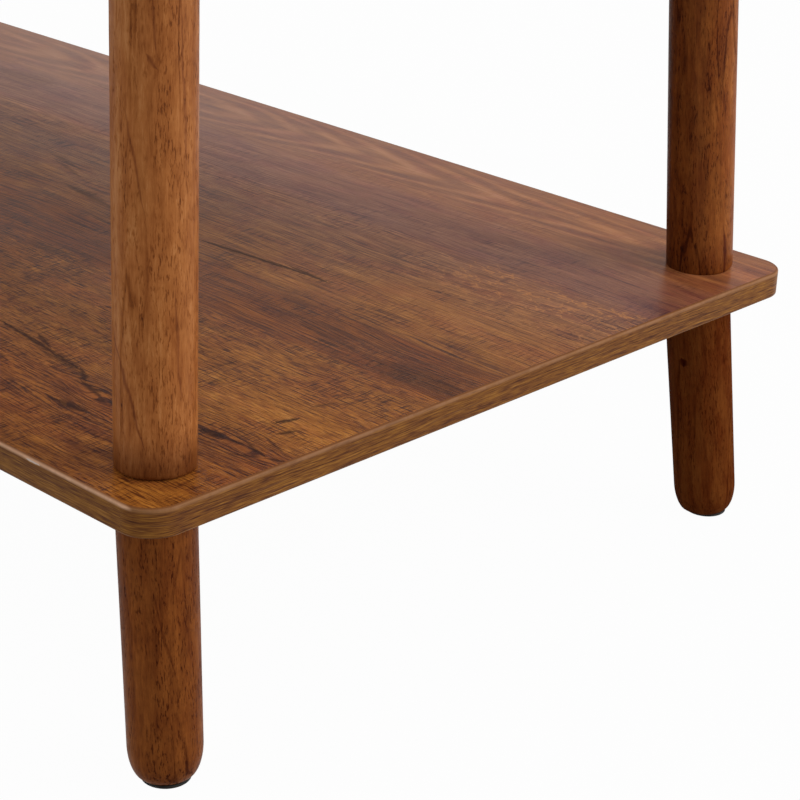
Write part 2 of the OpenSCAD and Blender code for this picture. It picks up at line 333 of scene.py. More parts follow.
# Oak print of the boards: a rustic oak decor with knots, checks and saw marks, grain along X
oakPrint = {
    "knots": [   # middle x, y, half length, half width, how dark
        (379, -180, 6, 3, 0.9), (391, -186, 5, 2.5, 0.8), (459, -171, 10, 4.4, 1.0), (492, -172, 5, 2.0, 0.3),
        (386, -202, 9, 3.2, 0.9), (-330, -120, 9, 4, 1.0), (-90, -190, 7, 3, 1.0), (-220, 90, 8, 4, 1.0),
    ],
    "checks": [   # dark cracks and smears: middle x, y, angle, half length, half width, depth
        (285, 18.5, 4, 66, 2.6, 1.0), (326, 22.5, -6, 25, 2.4, 0.9), (130, 17, -8, 36, 4.5, 0.55),
        (312, -163, -8, 60, 2.9, 1.0), (309, -158, -20, 14, 2.8, 0.9), (335, -169, -6, 34, 1.5, 0.6),
        (359, -172, -34, 11, 2.8, 0.9), (377, -181, -14, 17, 2.4, 0.85), (386, -201, 5, 15, 4.6, 0.9),
        (473, -169, 11, 8, 1.7, 0.8), (487, -168, -14, 13, 1.6, 0.8), (489, -176, 28, 11, 1.6, 0.75),
        (503, -169, 20, 8, 1.7, 0.9), (490, -158, -17, 15, 1.4, 0.5), (-210, -60, 3, 45, 2.0, 0.8),
        (-60, 190, -3, 38, 1.8, 0.6), (-400, 60, 5, 30, 2.4, 0.8), (-130, 165, 4, 42, 13, 0.30),
        (474, -43, 2, 40, 15, 0.42), (60, 52, -12, 30, 2.8, 0.45), (72, 44, -14, 26, 2.6, 0.45),
        (300, -128, 0, 100, 34, 0.30), (496, 4, 0, 30, 17, 0.2),
    ],
    "ticks": [   # dark strokes across the grain, listed like the checks
        (397, -107, 84, 11, 2.4, 0.45), (411, -126, 80, 9, 2.4, 0.5), (470, -107, 72, 7, 2.2, 0.6),
        (472, -133, 70, 9, 2.6, 1.0), (482, -143, 70, 7, 2.6, 0.9), (462, 7, 6, 26, 7, 0.30),
    ],
    "arches": [   # middle y, half width, flare, strength, and x of each lobe's tip
        (217, 33, 20, 0.9, (-480, -425, -330, -270, -160, -105, -30, 55, 108, 159, 233, 308, 411, 500)),
        (-208, 40, 22, 0.5, (-470, -380, -310, -215, -150, -60, 15, 100, 150, 240, 300, 372, 450, 500)),
    ],
    "reach": (1100, 600),   # how much of the print the tables of places below span, along and across
    # tone of the print across the table, front edge to back
    "planks": [(-254, 0.02), (-225, 0.01), (-190, -0.02), (-165, 0.03), (-138, 0.21), (-110, 0.10),
               (-90, 0.08), (-66, 0.08), (-58.8, 0.11), (-58.3, -0.13), (-45, -0.14), (-30, -0.16),
               (-13, -0.13), (-4, 0.0), (10, 0.09), (22, 0.12), (48, 0.07), (62, 0.02), (85, 0.02),
               (97, 0.02), (112, 0.02), (126, -0.05), (150, -0.04), (176, 0.0), (182, 0.02), (205, 0.03),
               (220, 0.07), (254, 0.0)],
    # along the table: how far the planks differ, and what is added to the front and the back of them
    "lengthways": [(-508, 0.6, -0.04, 0.02), (-200, 0.4, -0.08, 0.03), (60, 0.3, -0.10, 0.01),
                   (180, 0.3, -0.12, 0.01), (240, 0.4, -0.06, 0.0), (300, 0.5, -0.03, -0.01),
                   (360, 0.65, -0.03, -0.02), (420, 0.85, 0.0, -0.05), (470, 1.0, -0.03, -0.06),
                   (495, 1.0, -0.04, -0.10), (508, 1.0, -0.03, -0.10)],
    "backFrom": (80, 115),
    # tint of the planks, red, golden or purple brown, and towards the back a bluish lift that is painted
    # reflection haze
    "tintsAndPaintedReflection": [(-254, (1.0, 0.92, 0.78)), (-215, (1.0, 0.90, 0.76)), (-190, (1.0, 0.86, 0.70)),
              (-160, (1.0, 0.92, 0.66)), (-100, (1.0, 0.91, 0.55)), (-58.8, (1.0, 0.90, 0.56)),
              (-58.3, (1.0, 0.77, 0.30)), (-13, (1.0, 0.79, 0.30)), (-8, (1.0, 0.92, 0.60)),
              (35, (1.0, 0.96, 0.92)), (60, (1.0, 1.0, 1.25)), (85, (0.98, 1.02, 1.7)),
              (112, (0.98, 1.03, 2.15)), (126, (0.95, 1.04, 2.9)), (150, (0.96, 1.02, 2.7)),
              (176, (0.97, 0.98, 2.35)), (182, (1.0, 0.97, 1.75)), (254, (1.0, 0.97, 1.6))],
    "clearTint": (1.0, 0.94, 0.9),   # of all planks, where no painted reflection haze is laid
    "colours": [(0.0, (0.042, 0.013, 0.009)), (0.25, (0.128, 0.039, 0.013)),
                (0.5, (0.305, 0.108, 0.022)), (0.70, (0.490, 0.195, 0.036)), (1.0, (0.72, 0.36, 0.10))],
    "markColour": (0.031, 0.010, 0.006),
    # painted reflection: a pale pinkish haze over the back of the boards, from x, to x, from y, to y,
    # strength
    "paintedReflectionPatch": (480, -60, 90, 200, 0.33),
    "paintedReflectionColour": (0.42, 0.27, 0.24),
    # how strong the fine marks are, front edge to back
    "marking": [(-254, 0.82), (-200, 0.85), (-180, 1.0), (-59, 1.0), (-57, 0.72), (-10, 0.74), (60, 0.74),
                (112, 0.68), (128, 0.48), (170, 0.44), (200, 0.34), (254, 0.32)],
    "longFrom": (-61, -57),   # the fibres are short in front of this and long behind it
    # golden curls lie in two of the planks, most of them from one x to another
    "curls": [(-60, 0.05), (-57, 0.18), (-25, 0.14), (-12, 0.05), (45, 0.12), (66, 0.55), (84, 0.9),
              (112, 1.0), (122, 0.1), (254, 0.05)],
    "curlsFrom": (320, 410),
    "curlColour": (0.60, 0.235, 0.062),
    # the noises that it is drawn with: size of their grains in x, y and z, shift, detail, roughness
    "noises": {
        "slow": ((330, 110, 110), (0, 0, 0), 1, 0.5),
        "sway": ((80, 26, 26), (3, 7, 1), 2, 0.5),
        "ragged": ((5, 2.5, 5), (0, 0, 0), 3, 0.5),
        "strand": ((150, 9, 9), (5, 2, 0), 4, 0.6),
        "streak": ((30, 1.9, 1.9), (1, 8, 0), 4, 0.70),
        "shortFibre": ((13, 0.85, 0.85), (2, 5, 0), 2, 0.6),
        "longFibre": ((48, 0.95, 0.95), (6, 5, 0), 2, 0.6),
        "mottle": ((20, 8, 8), (9, 4, 0), 5, 0.66),
        "sawLine": ((0.95, 14, 14), (7, 3, 0), 1, 0.6),
        "sawPatch": ((60, 34, 34), (2, 2, 6), 3, 0.5),
        "notch": ((2.3, 8, 8), (1, 6, 2), 3, 0.6),
        "pore": ((4.2, 0.55, 0.55), (8, 1, 0), 1, 0.5),
        "curl": ((15, 6, 6), (4, 6, 3), 3, 0.5),
        "redder": ((48, 18, 18), (6, 3, 3), 4, 0.6),
        "stain": ((64, 20, 20), (3, 8, 5), 5, 0.66),
    },
    # patches that multiply the colour: their noise, where they begin and are full, strength, tint
    "patches": [("redder", 0.44, 0.64, 0.6, (0.88, 0.70, 0.90)),
                ("stain", 0.54, 0.70, 0.5, (0.64, 0.55, 0.60))],
    # how far each kind of mark moves the tone
    "tones": {"all": 0.13, "strand": 0.20, "streak": 0.26, "fibre": -0.46, "mottle": 0.34, "ring": -0.36,
              "sawLine": -0.32, "notch": -0.28, "pore": -0.20},
    "ringStep": 2.8,
}


def openRoundKnots(tree, place, across, ragged, knots):
    # the grain's place across the board, pushed aside by the knots, with their cores and surroundings
    core = 0.0
    near = 0.0
    for middleX, middleY, long, wide, dark in knots:
        made = useGroup(tree, knot, Place=place, Middle=(middleX, middleY, 0), Long=long, Wide=wide,
                        Ragged=ragged)
        across = total(tree, across, made["Push"])
        core = calc(tree, "MAXIMUM", core, times(tree, made["Core"], dark))
        near = calc(tree, "MAXIMUM", near, made["Near"])
    return across, core, near


def layPlanks(tree, settings, x, y, ragged, paintedReflection):
    # planks of different tone and tint side by side, the tint partly painted reflection haze, with the shares
    # along and across that ramps use.
    # A ramp holds no negative number, so tones lie about a half in it.
    reachX, reachY = settings["reach"]
    stops = settings["lengthways"]
    edge = total(tree, y, swing(tree, ragged, 0.6, 0.0))
    share = shareOf(tree, edge, reachY)
    tone = level(tree, share, overReach([(at, 0.5 + step) for at, step in settings["planks"]], reachY))
    along = shareOf(tree, x, reachX)
    toBack = ease(tree, y, *settings["backFrom"])
    differ = level(tree, along, overReach([(at, much) for at, much, front, back in stops], reachX))
    atFront = level(tree, along, overReach([(at, 0.5 + front) for at, much, front, back in stops], reachX))
    atBack = level(tree, along, overReach([(at, 0.5 + back) for at, much, front, back in stops], reachX))
    tone = times(tree, calc(tree, "SUBTRACT", tone, 0.5), calc(tree, "MAXIMUM", differ, toBack))
    lift = times(tree, calc(tree, "SUBTRACT", atBack, atFront), toBack)
    tone = total(tree, tone, atFront, lift)
    # painted reflection: the bluish lift of the back planks is painted haze, laid in as far as the board's
    # reflection share says
    tintAndPaintedReflection = ramp(tree, share, overReach(settings["tintsAndPaintedReflection"], reachY))
    tintAndPaintedReflection = mixColour(tree, paintedReflection, settings["clearTint"], tintAndPaintedReflection)
    return tone, tintAndPaintedReflection, along, share


def addArches(tree, settings, tone, along, across, strand):
    # where the log was cut flat: soft paler lobes that point to +X
    for middleY, halfWidth, flare, strength, tips in settings["arches"]:
        count = len(tips)
        stops = [(tip, index / count) for index, tip in enumerate(tips)]
        phase = level(tree, along, overReach(stops, settings["reach"][0]))
        off = calc(tree, "SUBTRACT", across, middleY)
        bow = calc(tree, "POWER", calc(tree, "ABSOLUTE", calc(tree, "DIVIDE", off, flare)), 1.6)
        run = total(tree, times(tree, phase, count), 0.5, bow, swing(tree, strand, 0.2))
        lobe = ease(tree, calc(tree, "PINGPONG", run, 0.5), 0.12, 0.48, -0.10, 0.12)
        inside = ease(tree, calc(tree, "ABSOLUTE", off), halfWidth, halfWidth * 0.6, 0.0, strength)
        tone = total(tree, tone, times(tree, lobe, inside))
    return tone


def drawMarks(tree, place, strokes, marks, wander, ragged):
    # checks and ticks with wandering, ragged sides
    for middleX, middleY, angle, long, wide, strength in strokes:
        turn = math.radians(angle)
        made = useGroup(
            tree, stroke, Place=place, Middle=(middleX, middleY, 0),
            Along=(math.cos(turn) / long, math.sin(turn) / long, 0),
            Across=(-math.sin(turn) / wide, math.cos(turn) / wide, 0),
            Sway=total(tree, calc(tree, "DIVIDE", wander, wide * 4), ragged))
        marks = calc(tree, "MAXIMUM", marks, times(tree, made["Mask"], strength))
    return marks


def makeOakPrint(settings):
    # a board's second input is how much painted reflection haze it gets, in the tints and the pale patch
    tree, put, give = newGroup(
        "oakPrint",
        [("Place", "Vector", None), ("Haze", "Float", 1.0)],
        [("Colour", "Color"), ("Dark", "Float"), ("Height", "Float")],
    )
    noises, tones = settings["noises"], settings["tones"]
    place = put["Place"]
    x, y, z = parted(tree, place)

    # the grain sways slowly, and opens round the knots
    slow = cloud(tree, place, *noises["slow"])
    sway = cloud(tree, place, *noises["sway"])
    plainAcross = total(tree, y, swing(tree, slow, 14), swing(tree, sway, 3.5))
    ragged = swing(tree, cloud(tree, place, *noises["ragged"]), 0.7)
    across, core, near = openRoundKnots(tree, place, plainAcross, ragged, settings["knots"])
    grain = joined(tree, x, across, z)
    tone, tintAndPaintedReflection, along, share = layPlanks(tree, settings, x, y, ragged, put["Haze"])

    # streaks and fibres along the grain, long behind the golden plank, and a mottle over them
    marking = level(tree, share, overReach(settings["marking"], settings["reach"][1]))
    strand = cloud(tree, grain, *noises["strand"])
    streak = cloud(tree, grain, *noises["streak"])
    shortFibre = cloud(tree, grain, *noises["shortFibre"])
    longFibre = cloud(tree, grain, *noises["longFibre"])
    isLong = ease(tree, y, *settings["longFrom"])
    fibre = total(tree, shortFibre, times(tree, calc(tree, "SUBTRACT", longFibre, shortFibre), isLong))
    mottle = cloud(tree, place, *noises["mottle"])
    line = times(tree, ease(tree, fibre, 0.47, 0.60), ease(tree, mottle, 0.30, 0.62, 0.3, 1.0))
    fine = total(tree, swing(tree, streak, tones["streak"]), times(tree, line, tones["fibre"]),
                 swing(tree, mottle, tones["mottle"]))
    tone = total(tree, tone, tones["all"], swing(tree, strand, tones["strand"]), times(tree, fine, marking))

    # dark rings: fine lines that crowd round the knots
    ringPlace = total(tree, calc(tree, "DIVIDE", across, settings["ringStep"]), swing(tree, strand, 1.4))
    ring = ease(tree, calc(tree, "FRACT", ringPlace), 0.45, 0.95)
    crowd = calc(tree, "MAXIMUM", near, ease(tree, slow, 0.50, 0.66, 0.0, 0.55))
    ring = times(tree, times(tree, ring, crowd), marking)
    tone = total(tree, tone, times(tree, ring, tones["ring"]))
    tone = addArches(tree, settings, tone, along, across, strand)

    # marks left across the grain by the saw: fine dark lines, and short dark strokes in patches
    sawLine = cloud(tree, place, *noises["sawLine"])
    sawPatch = ease(tree, cloud(tree, place, *noises["sawPatch"]), 0.42, 0.62)
    sawTone = times(tree, ease(tree, sawLine, 0.48, 0.68, 0.0, tones["sawLine"]), total(tree, sawPatch, 0.10))
    notch = ease(tree, cloud(tree, place, *noises["notch"]), 0.56, 0.72)
    notch = times(tree, notch, sawPatch)
    sawTone = total(tree, sawTone, times(tree, notch, tones["notch"]))
    tone = total(tree, tone, times(tree, sawTone, marking))

    # pores, short dark dashes along the grain, and golden curls
    pore = ease(tree, cloud(tree, grain, *noises["pore"]), 0.57, 0.70)
    pore = times(tree, times(tree, pore, marking), ease(tree, strand, 0.70, 0.34))
    curl = calc(tree, "ABSOLUTE", swing(tree, cloud(tree, grain, *noises["curl"]), 1.0))
    curl = times(tree, ease(tree, curl, 0.085, 0.0), ease(tree, mottle, 0.40, 0.52))
    curly = level(tree, share, overReach(settings["curls"], settings["reach"][1]))
    curly = times(tree, curly, ease(tree, x, *settings["curlsFrom"], 0.12, 0.85))
    curl = times(tree, curl, curly)
    tone = total(tree, tone, times(tree, pore, tones["pore"]))

    marks = times(tree, core, 0.9)
    wander = swing(tree, sway, 9)
    marks = drawMarks(tree, place, settings["checks"] + settings["ticks"], marks, wander, ragged)

    colour = mixColour(tree, 1.0, ramp(tree, tone, settings["colours"]), tintAndPaintedReflection, "MULTIPLY")
    for noise, begin, full, strength, patchTint in settings["patches"]:
        patch = ease(tree, cloud(tree, place, *noises[noise]), begin, full)
        colour = mixColour(tree, times(tree, patch, strength), colour, patchTint, "MULTIPLY")
    colour = mixColour(tree, curl, colour, settings["curlColour"])
    colour = mixColour(tree, times(tree, marks, 0.88), colour, settings["markColour"])
    # painted reflection: a pale pinkish haze is laid over the back of the board
    fromX, toX, fromY, toY, strength = settings["paintedReflectionPatch"]
    paintedReflectionPatch = times(tree, ease(tree, x, fromX, toX), ease(tree, y, fromY, toY, 0.0, strength))
    paintedReflectionPatch = times(tree, paintedReflectionPatch, put["Haze"])
    colour = mixColour(tree, paintedReflectionPatch, colour, settings["paintedReflectionColour"])
    feed(tree, give["Colour"], colour)
    feed(tree, give["Dark"], calc(tree, "MAXIMUM", marks, pore))

    # the relief follows the pores and saw marks, without the knots' push
    plainGrain = joined(tree, x, plainAcross, z)
    embossed = cloud(tree, plainGrain, *noises["pore"])
    feed(tree, give["Height"], total(
        tree, ease(tree, embossed, 0.70, 0.56), times(tree, times(tree, sawLine, sawPatch), 0.4)))
    return tree


boardFinish = {
    "roughness": (0.30, 0.44),   # smooth to marked
    "smudge": 0.05,
    "scuff": 0.06,
    "rubSize": 60,
    "shader": {"Specular IOR Level": 0.043},
    "relief": 0.00005,
    "topShift": (-140, 60, 0),   # the top is cut from another part of the same sheet
    # share of the painted reflection haze that the top gets
    "topHaze": 0.4,
}


def makeBoardMaterial(name, group, shift, turn, paintedReflection):
    look = boardFinish
    material, tree, shader, place = newMaterial(name, look["shader"])
    turned = vectorCalc(tree, "MULTIPLY_ADD", place, (turn, turn, 0), shift)
    made = useGroup(tree, group, Place=turned, Haze=paintedReflection)
    worn = useGroup(tree, rub, Place=place, Size=look["rubSize"])
    smooth, marked = look["roughness"]
    rough = total(
        tree, times(tree, made["Dark"], marked - smooth), smooth,
        times(tree, worn["Smudge"], look["smudge"]), times(tree, worn["Scuff"], look["scuff"]))
    feed(tree, shader.inputs["Base Color"], made["Colour"])
    feed(tree, shader.inputs["Roughness"], rough)
    emboss(tree, shader, made["Height"], look["relief"])
    return material


def dressBoards():
    group = makeOakPrint(oakPrint)
    shift, paintedReflection = boardFinish["topShift"], boardFinish["topHaze"]
    looks = {
        "shelf": makeBoardMaterial("shelfBoard", group, (0, 0, 0), 1, 1.0),
        "table_top": makeBoardMaterial("topBoard", group, shift, -1, paintedReflection),
    }
    for node, material in looks.items():
        dress(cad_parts[node], material)


dressBoards()
print("boards dressed")


# Small helpers for meshes
def quarterArc(steps, wide, high):
    # points of a quarter ellipse from its bottom out and up to its side
    angles = [math.pi / 2 * step / steps for step in range(steps + 1)]
    return [(wide * math.sin(angle), high * (1 - math.cos(angle))) for angle in angles]


def turnOnLathe(form, curve, sides, origin=Vector()):
    # turns a curve of radius and rise about an upright axis, a point on the axis becomes one vertex
    rings = []
    for radius, up in curve:
        angles = [2 * math.pi * side / sides for side in range(sides)] if radius else [0]
        rings.append([
            form.verts.new(origin + Vector((radius * math.cos(angle), radius * math.sin(angle), up)))
            for angle in angles])
    for lower, upper in zip(rings, rings[1:]):
        for side in range(sides):
            after = (side + 1) % sides
            corners = []
            for vert in (lower[side % len(lower)], lower[after % len(lower)],
                         upper[after % len(upper)], upper[side % len(upper)]):
                if vert not in corners:
                    corners.append(vert)
            form.faces.new(corners)
    return rings


def finishMesh(name, form, material, smoothAngle):
    mesh = bpy.data.meshes.new(name)
    form.normal_update()
    form.to_mesh(mesh)
    form.free()
    for face in mesh.polygons:
        face.use_smooth = True
    mesh.set_sharp_from_angle(angle=math.radians(smoothAngle))
    piece = bpy.data.objects.new(name, mesh)
    bpy.context.scene.collection.objects.link(piece)
    dress(piece, material)
    return piece


def middleOf(node):
    low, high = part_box(node)
    return (low + high) / 2


def inOneWord(corner):
    return corner.title().replace("_", "")


# Edge bands: a rounded plastic strip bent round each board
bandLook = {
    "thickness": 0.0015,
    "cornerRadius": 0.019,
    "round": 0.0012,
    "arcSteps": 6,
    "cornerSteps": 22,
    "faceSteps": 4,
    "straightStep": 0.0098,
    "smoothAngle": 60,
    "gluedReach": 2.2,     # on the strip's chart the glued face runs on, to this many half widths
    "seedStep": 3.7,       # from the shelf's strip to the top's
    "colours": [(0.0, (0.028, 0.008, 0.004)), (0.3, (0.088, 0.028, 0.0095)), (0.5, (0.162, 0.059, 0.0145)),
                (0.7, (0.238, 0.097, 0.018)), (1.0, (0.37, 0.172, 0.042))],
    # how far each kind of streak moves the tone
    "tones": {"all": 0.51, "broad": 0.28, "streak": 0.66, "fibre": 0.52},
    "veinColour": (0.085, 0.034, 0.022),
    # the upper arris's pale line is partly scraped, paler plastic and partly a painted highlight
    "arris": (4.8, 6.6, 7.0, 8.0),      # where its pale line begins, is full, fades and ends, up the strip
    "arrisColour": (0.30, 0.145, 0.068),
    "frontArrisHighlight": (0.70, 0.41, 0.255),  # painted highlight: the front arris is painted much paler
    "frontFrom": (-252.4, -253.6),
    # painted light: the strip's front face is painted lighter by this much tone
    "frontPaintedLight": 0.09,
    "frontHighlightLift": 0.35,                  # and there the painted highlight begins this much higher
    "topColour": (0.215, 0.080, 0.026),  # the strip's upper edge, level with the board
    # painted highlight: the strip's upper edge is painted paler at the front
    "frontTopHighlight": (0.42, 0.21, 0.105),
    "chip": (424, 160.0, 6.0, 0.55),    # on the shelf's front arris: middle x, z, half length, half height
    "chipColour": (0.66, 0.53, 0.45),
    "shader": {"Specular IOR Level": 0.07},
    "roughness": 0.42,
    "relief": 0.00005,
}


def bandProfile(height):
    # out from the glued face and up, from the upper face over the rounded arrises to the lower
    look = bandLook
    depth, bend = look["thickness"], look["round"]
    flat = depth - bend
    arris = [(flat + out, height - up) for out, up in quarterArc(look["arcSteps"], bend, bend)]
    points = [(0, height), (flat / 2, height)] + arris
    for step in range(1, look["faceSteps"]):
        points.append((depth, height - bend - (height - 2 * bend) * step / look["faceSteps"]))
    points += [(out, height - up) for out, up in reversed(arris)]
    return points + [(flat / 2, 0), (0, 0)]


def bandPath(low, high):
    # points of the outer outline, each with its outward direction, anticlockwise from the front right corner
    look = bandLook
    radius = look["cornerRadius"]
    path = []
    corners = [(1, -1, -90), (1, 1, 0), (-1, 1, 90), (-1, -1, 180)]
    for sideX, sideY, start in corners:
        middle = Vector((
            high.x - radius if sideX > 0 else low.x + radius,
            high.y - radius if sideY > 0 else low.y + radius))
        for step in range(look["cornerSteps"] + 1):
            angle = math.radians(start + 90 * step / look["cornerSteps"])
            out = Vector((math.cos(angle), math.sin(angle)))
            path.append((middle + radius * out, out))
        straight = (high.y - low.y if sideX == -sideY else high.x - low.x) - 2 * radius
        count = round(straight / look["straightStep"])
        last, out = path[-1]
        along = Vector((-out.y, out.x))
        for step in range(1, count):
            path.append((last + along * straight * step / count, out))
    return path


def runningLengths(points, length):
    runs = [0.0]
    for first, second in zip(points, points[1:]):
        runs.append(runs[-1] + length(first, second))
    return runs


def makeBand(name, node, material):
    low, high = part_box(node)
    profile = bandProfile(high.z - low.z)
    path = bandPath(low, high)
    form = bmesh.new()
    rings = []
    for point, out in path:
        ring = []
        for away, up in profile:
            spot = point + out * (away - bandLook["thickness"])
            ring.append(form.verts.new((spot.x, spot.y, low.z + up)))
        rings.append(ring)
    outline = [point for point, out in path]
    runs = runningLengths(outline + outline[:1], lambda first, second: (second - first).length)
    marks = runningLengths(profile, math.dist)
    half = marks[-1] / 2
    chart = form.loops.layers.uv.new("bandPlace")
    for index, ring in enumerate(rings):
        following = rings[(index + 1) % len(rings)]
        for part in range(len(ring)):
            after = (part + 1) % len(ring)
            face = form.faces.new((ring[part], ring[after], following[after], following[part]))
            glued = after == 0
            near, far = marks[part], half * bandLook["gluedReach"] if glued else marks[after]
            start, end = runs[index], runs[index + 1]
            for loop, (u, v) in zip(face.loops, ((start, near), (start, far), (end, far), (end, near))):
                loop[chart].uv = (u, half - v)
    piece = finishMesh(name, form, material, bandLook["smoothAngle"])
    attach(piece, "root")
    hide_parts(node)


def chipMask(tree, place, x, z, front):
    chipX, chipZ, chipLong, chipHigh = bandLook["chip"]
    offX = calc(tree, "DIVIDE", calc(tree, "SUBTRACT", x, chipX), chipLong)
    offZ = calc(tree, "DIVIDE", calc(tree, "SUBTRACT", z, chipZ), chipHigh)
    away = squareSum(tree, offX, offZ)
    away = total(tree, away, swing(tree, cloud(tree, place, (2.5, 1, 0.8), detail=3), 1.6))
    return times(tree, ease(tree, away, 1.0, 0.5), front)


def makeBandMaterial(name, seed):
    look = bandLook
    tones = look["tones"]
    material, tree, shader, place = newMaterial(name, look["shader"])
    chart = tree.nodes.new("ShaderNodeUVMap")
    chart.uv_map = "bandPlace"
    strip = millimetres(tree, chart.outputs[0])
    u, v, _ = parted(tree, strip)
    bend = swing(tree, cloud(tree, strip, (90, 12, 1), (seed, 0, 0), detail=2), 1.6)
    grain = joined(tree, u, total(tree, v, bend), seed)
    broad = cloud(tree, grain, (150, 4.2, 1), (2, 0, 0), detail=3)
    streak = cloud(tree, grain, (26, 0.75, 1), (5, 3, 0), detail=3, roughness=0.68)
    fibre = cloud(tree, grain, (9, 0.55, 1), (1, 7, 0), detail=2)
    x, y, z = parted(tree, place)
    front = ease(tree, y, *look["frontFrom"])
    # painted light: the tone is lifted along the front of the strip
    tone = total(tree, tones["all"], swing(tree, broad, tones["broad"]), swing(tree, streak, tones["streak"]),
                 swing(tree, fibre, tones["fibre"]), times(tree, front, look["frontPaintedLight"]))
    colour = ramp(tree, tone, look["colours"])
    vein = ease(tree, cloud(tree, grain, (60, 1.5, 1), (9, 2, 0), detail=2), 0.60, 0.70)
    colour = mixColour(tree, times(tree, vein, 0.5), colour, look["veinColour"])
    # the upper arris is paler, partly scraped plastic and partly a painted highlight; at the front a stronger
    # painted highlight
    begin, full, fade, gone = look["arris"]
    lifted = times(tree, front, look["frontHighlightLift"])
    nearness = ease(tree, calc(tree, "SUBTRACT", v, lifted), begin, full)
    worn = useGroup(tree, wornArris, Place=place, Nearness=nearness, Amount=0.35)
    arris = total(tree, times(tree, nearness, 0.55), worn["Mask"],
                  times(tree, times(tree, nearness, front), 0.30))
    arris = calc(tree, "MINIMUM", arris, 1)
    colour = mixColour(tree, arris, colour, mixColour(tree, front, look["arrisColour"], look["frontArrisHighlight"]))
    # painted highlight: at the front the upper edge takes a paler colour
    upper = mixColour(tree, front, look["topColour"], look["frontTopHighlight"])
    colour = mixColour(tree, ease(tree, v, fade, gone), colour, upper)
    colour = mixColour(tree, chipMask(tree, place, x, z, front), colour, look["chipColour"])
    feed(tree, shader.inputs["Base Color"], colour)
    marks = useGroup(tree, rub, Place=place, Size=40)
    feed(tree, shader.inputs["Roughness"], total(
        tree, look["roughness"], times(tree, marks["Smudge"], 0.06), times(tree, arris, 0.08),
        times(tree, vein, 0.05)))
    emboss(tree, shader, total(tree, streak, times(tree, vein, -0.6)), look["relief"])
    return material


def makeBands():
    bands = (("shelfEdgeBand", "shelf_edge_band"), ("topEdgeBand", "table_top_edge_band"))
    for index, (name, node) in enumerate(bands):
        makeBand(name, node, makeBandMaterial(name + "Finish", index * bandLook["seedStep"]))


makeBands()
print("edge bands made")


# Stained wood of the turned legs: rings, veins and open pores along the leg, in leg coordinates
legFinish = {
    "heart": (30, 18),   # the heart of the log is this far outside the leg
    "ringStep": 7.5,
    "colours": [(0.0, (0.018, 0.003, 0.001)), (0.2, (0.070, 0.015, 0.003)), (0.5, (0.232, 0.068, 0.013)),
                (0.74, (0.370, 0.128, 0.032)), (1.0, (0.52, 0.22, 0.075))],
    "redTint": (0.94, 0.74, 0.66),
    # the noises that the grain is drawn with: size of their grains in x, y and z, shift, detail, roughness
    "noises": {
        "swayX": ((60, 60, 120), (3, 1, 4), 2, 0.5),
        "swayY": ((60, 60, 140), (8, 6, 2), 2, 0.5),
        "ring": ((26, 26, 70), (5, 5, 5), 3, 0.5),
        "figure": ((8, 8, 30), (6, 2, 1), 5, 0.62),
        "ripple": ((15, 15, 4.5), (2, 7, 3), 2, 0.5),
        "streak": ((2.0, 2.0, 30), (2, 9, 0), 4, 0.62),
        "fibre": ((0.6, 0.6, 5.5), (4, 4, 1), 2, 0.6),
        "pore": ((0.8, 0.8, 4.2), (7, 2, 6), 2, 0.6),
        "poreCrowd": ((5, 5, 42), (1, 3, 8), 3, 0.5),
        "vein": ((20, 20, 300), (9, 9, 2), 2, 0.4),
        "veinPatch": ((30, 30, 60), (2, 2, 2), 2, 0.5),
    },
    # how far each kind of mark moves the tone
    "tones": {"all": 0.52, "figure": 1.0, "ripple": 0.2, "streak": 0.65, "fibre": 0.5, "ring": -0.33,
              "pore": -0.90, "vein": -0.75},
    "shader": {"Coat Roughness": 0.25},
    "coat": 0.02,
    "roughness": 0.42,
    "relief": 0.00008,
    "rubSize": 25,
    "veinSide": (0.7325, 0.6807, 0),   # the way that a long vein's place across the leg is measured
    "veinShade": (0.30, 0.12, 0.05),   # how much of the wood's colour is left in a vein
    "paintedShadowFrom": (26, 2),               # heights at which the painted shadow at the foot of an upper leg begins and is full
    # painted shadow: the colour that an upper leg is multiplied by at its foot
    "paintedShadowColour": (0.30, 0.24, 0.2),
    "smoothAngle": 30,
}


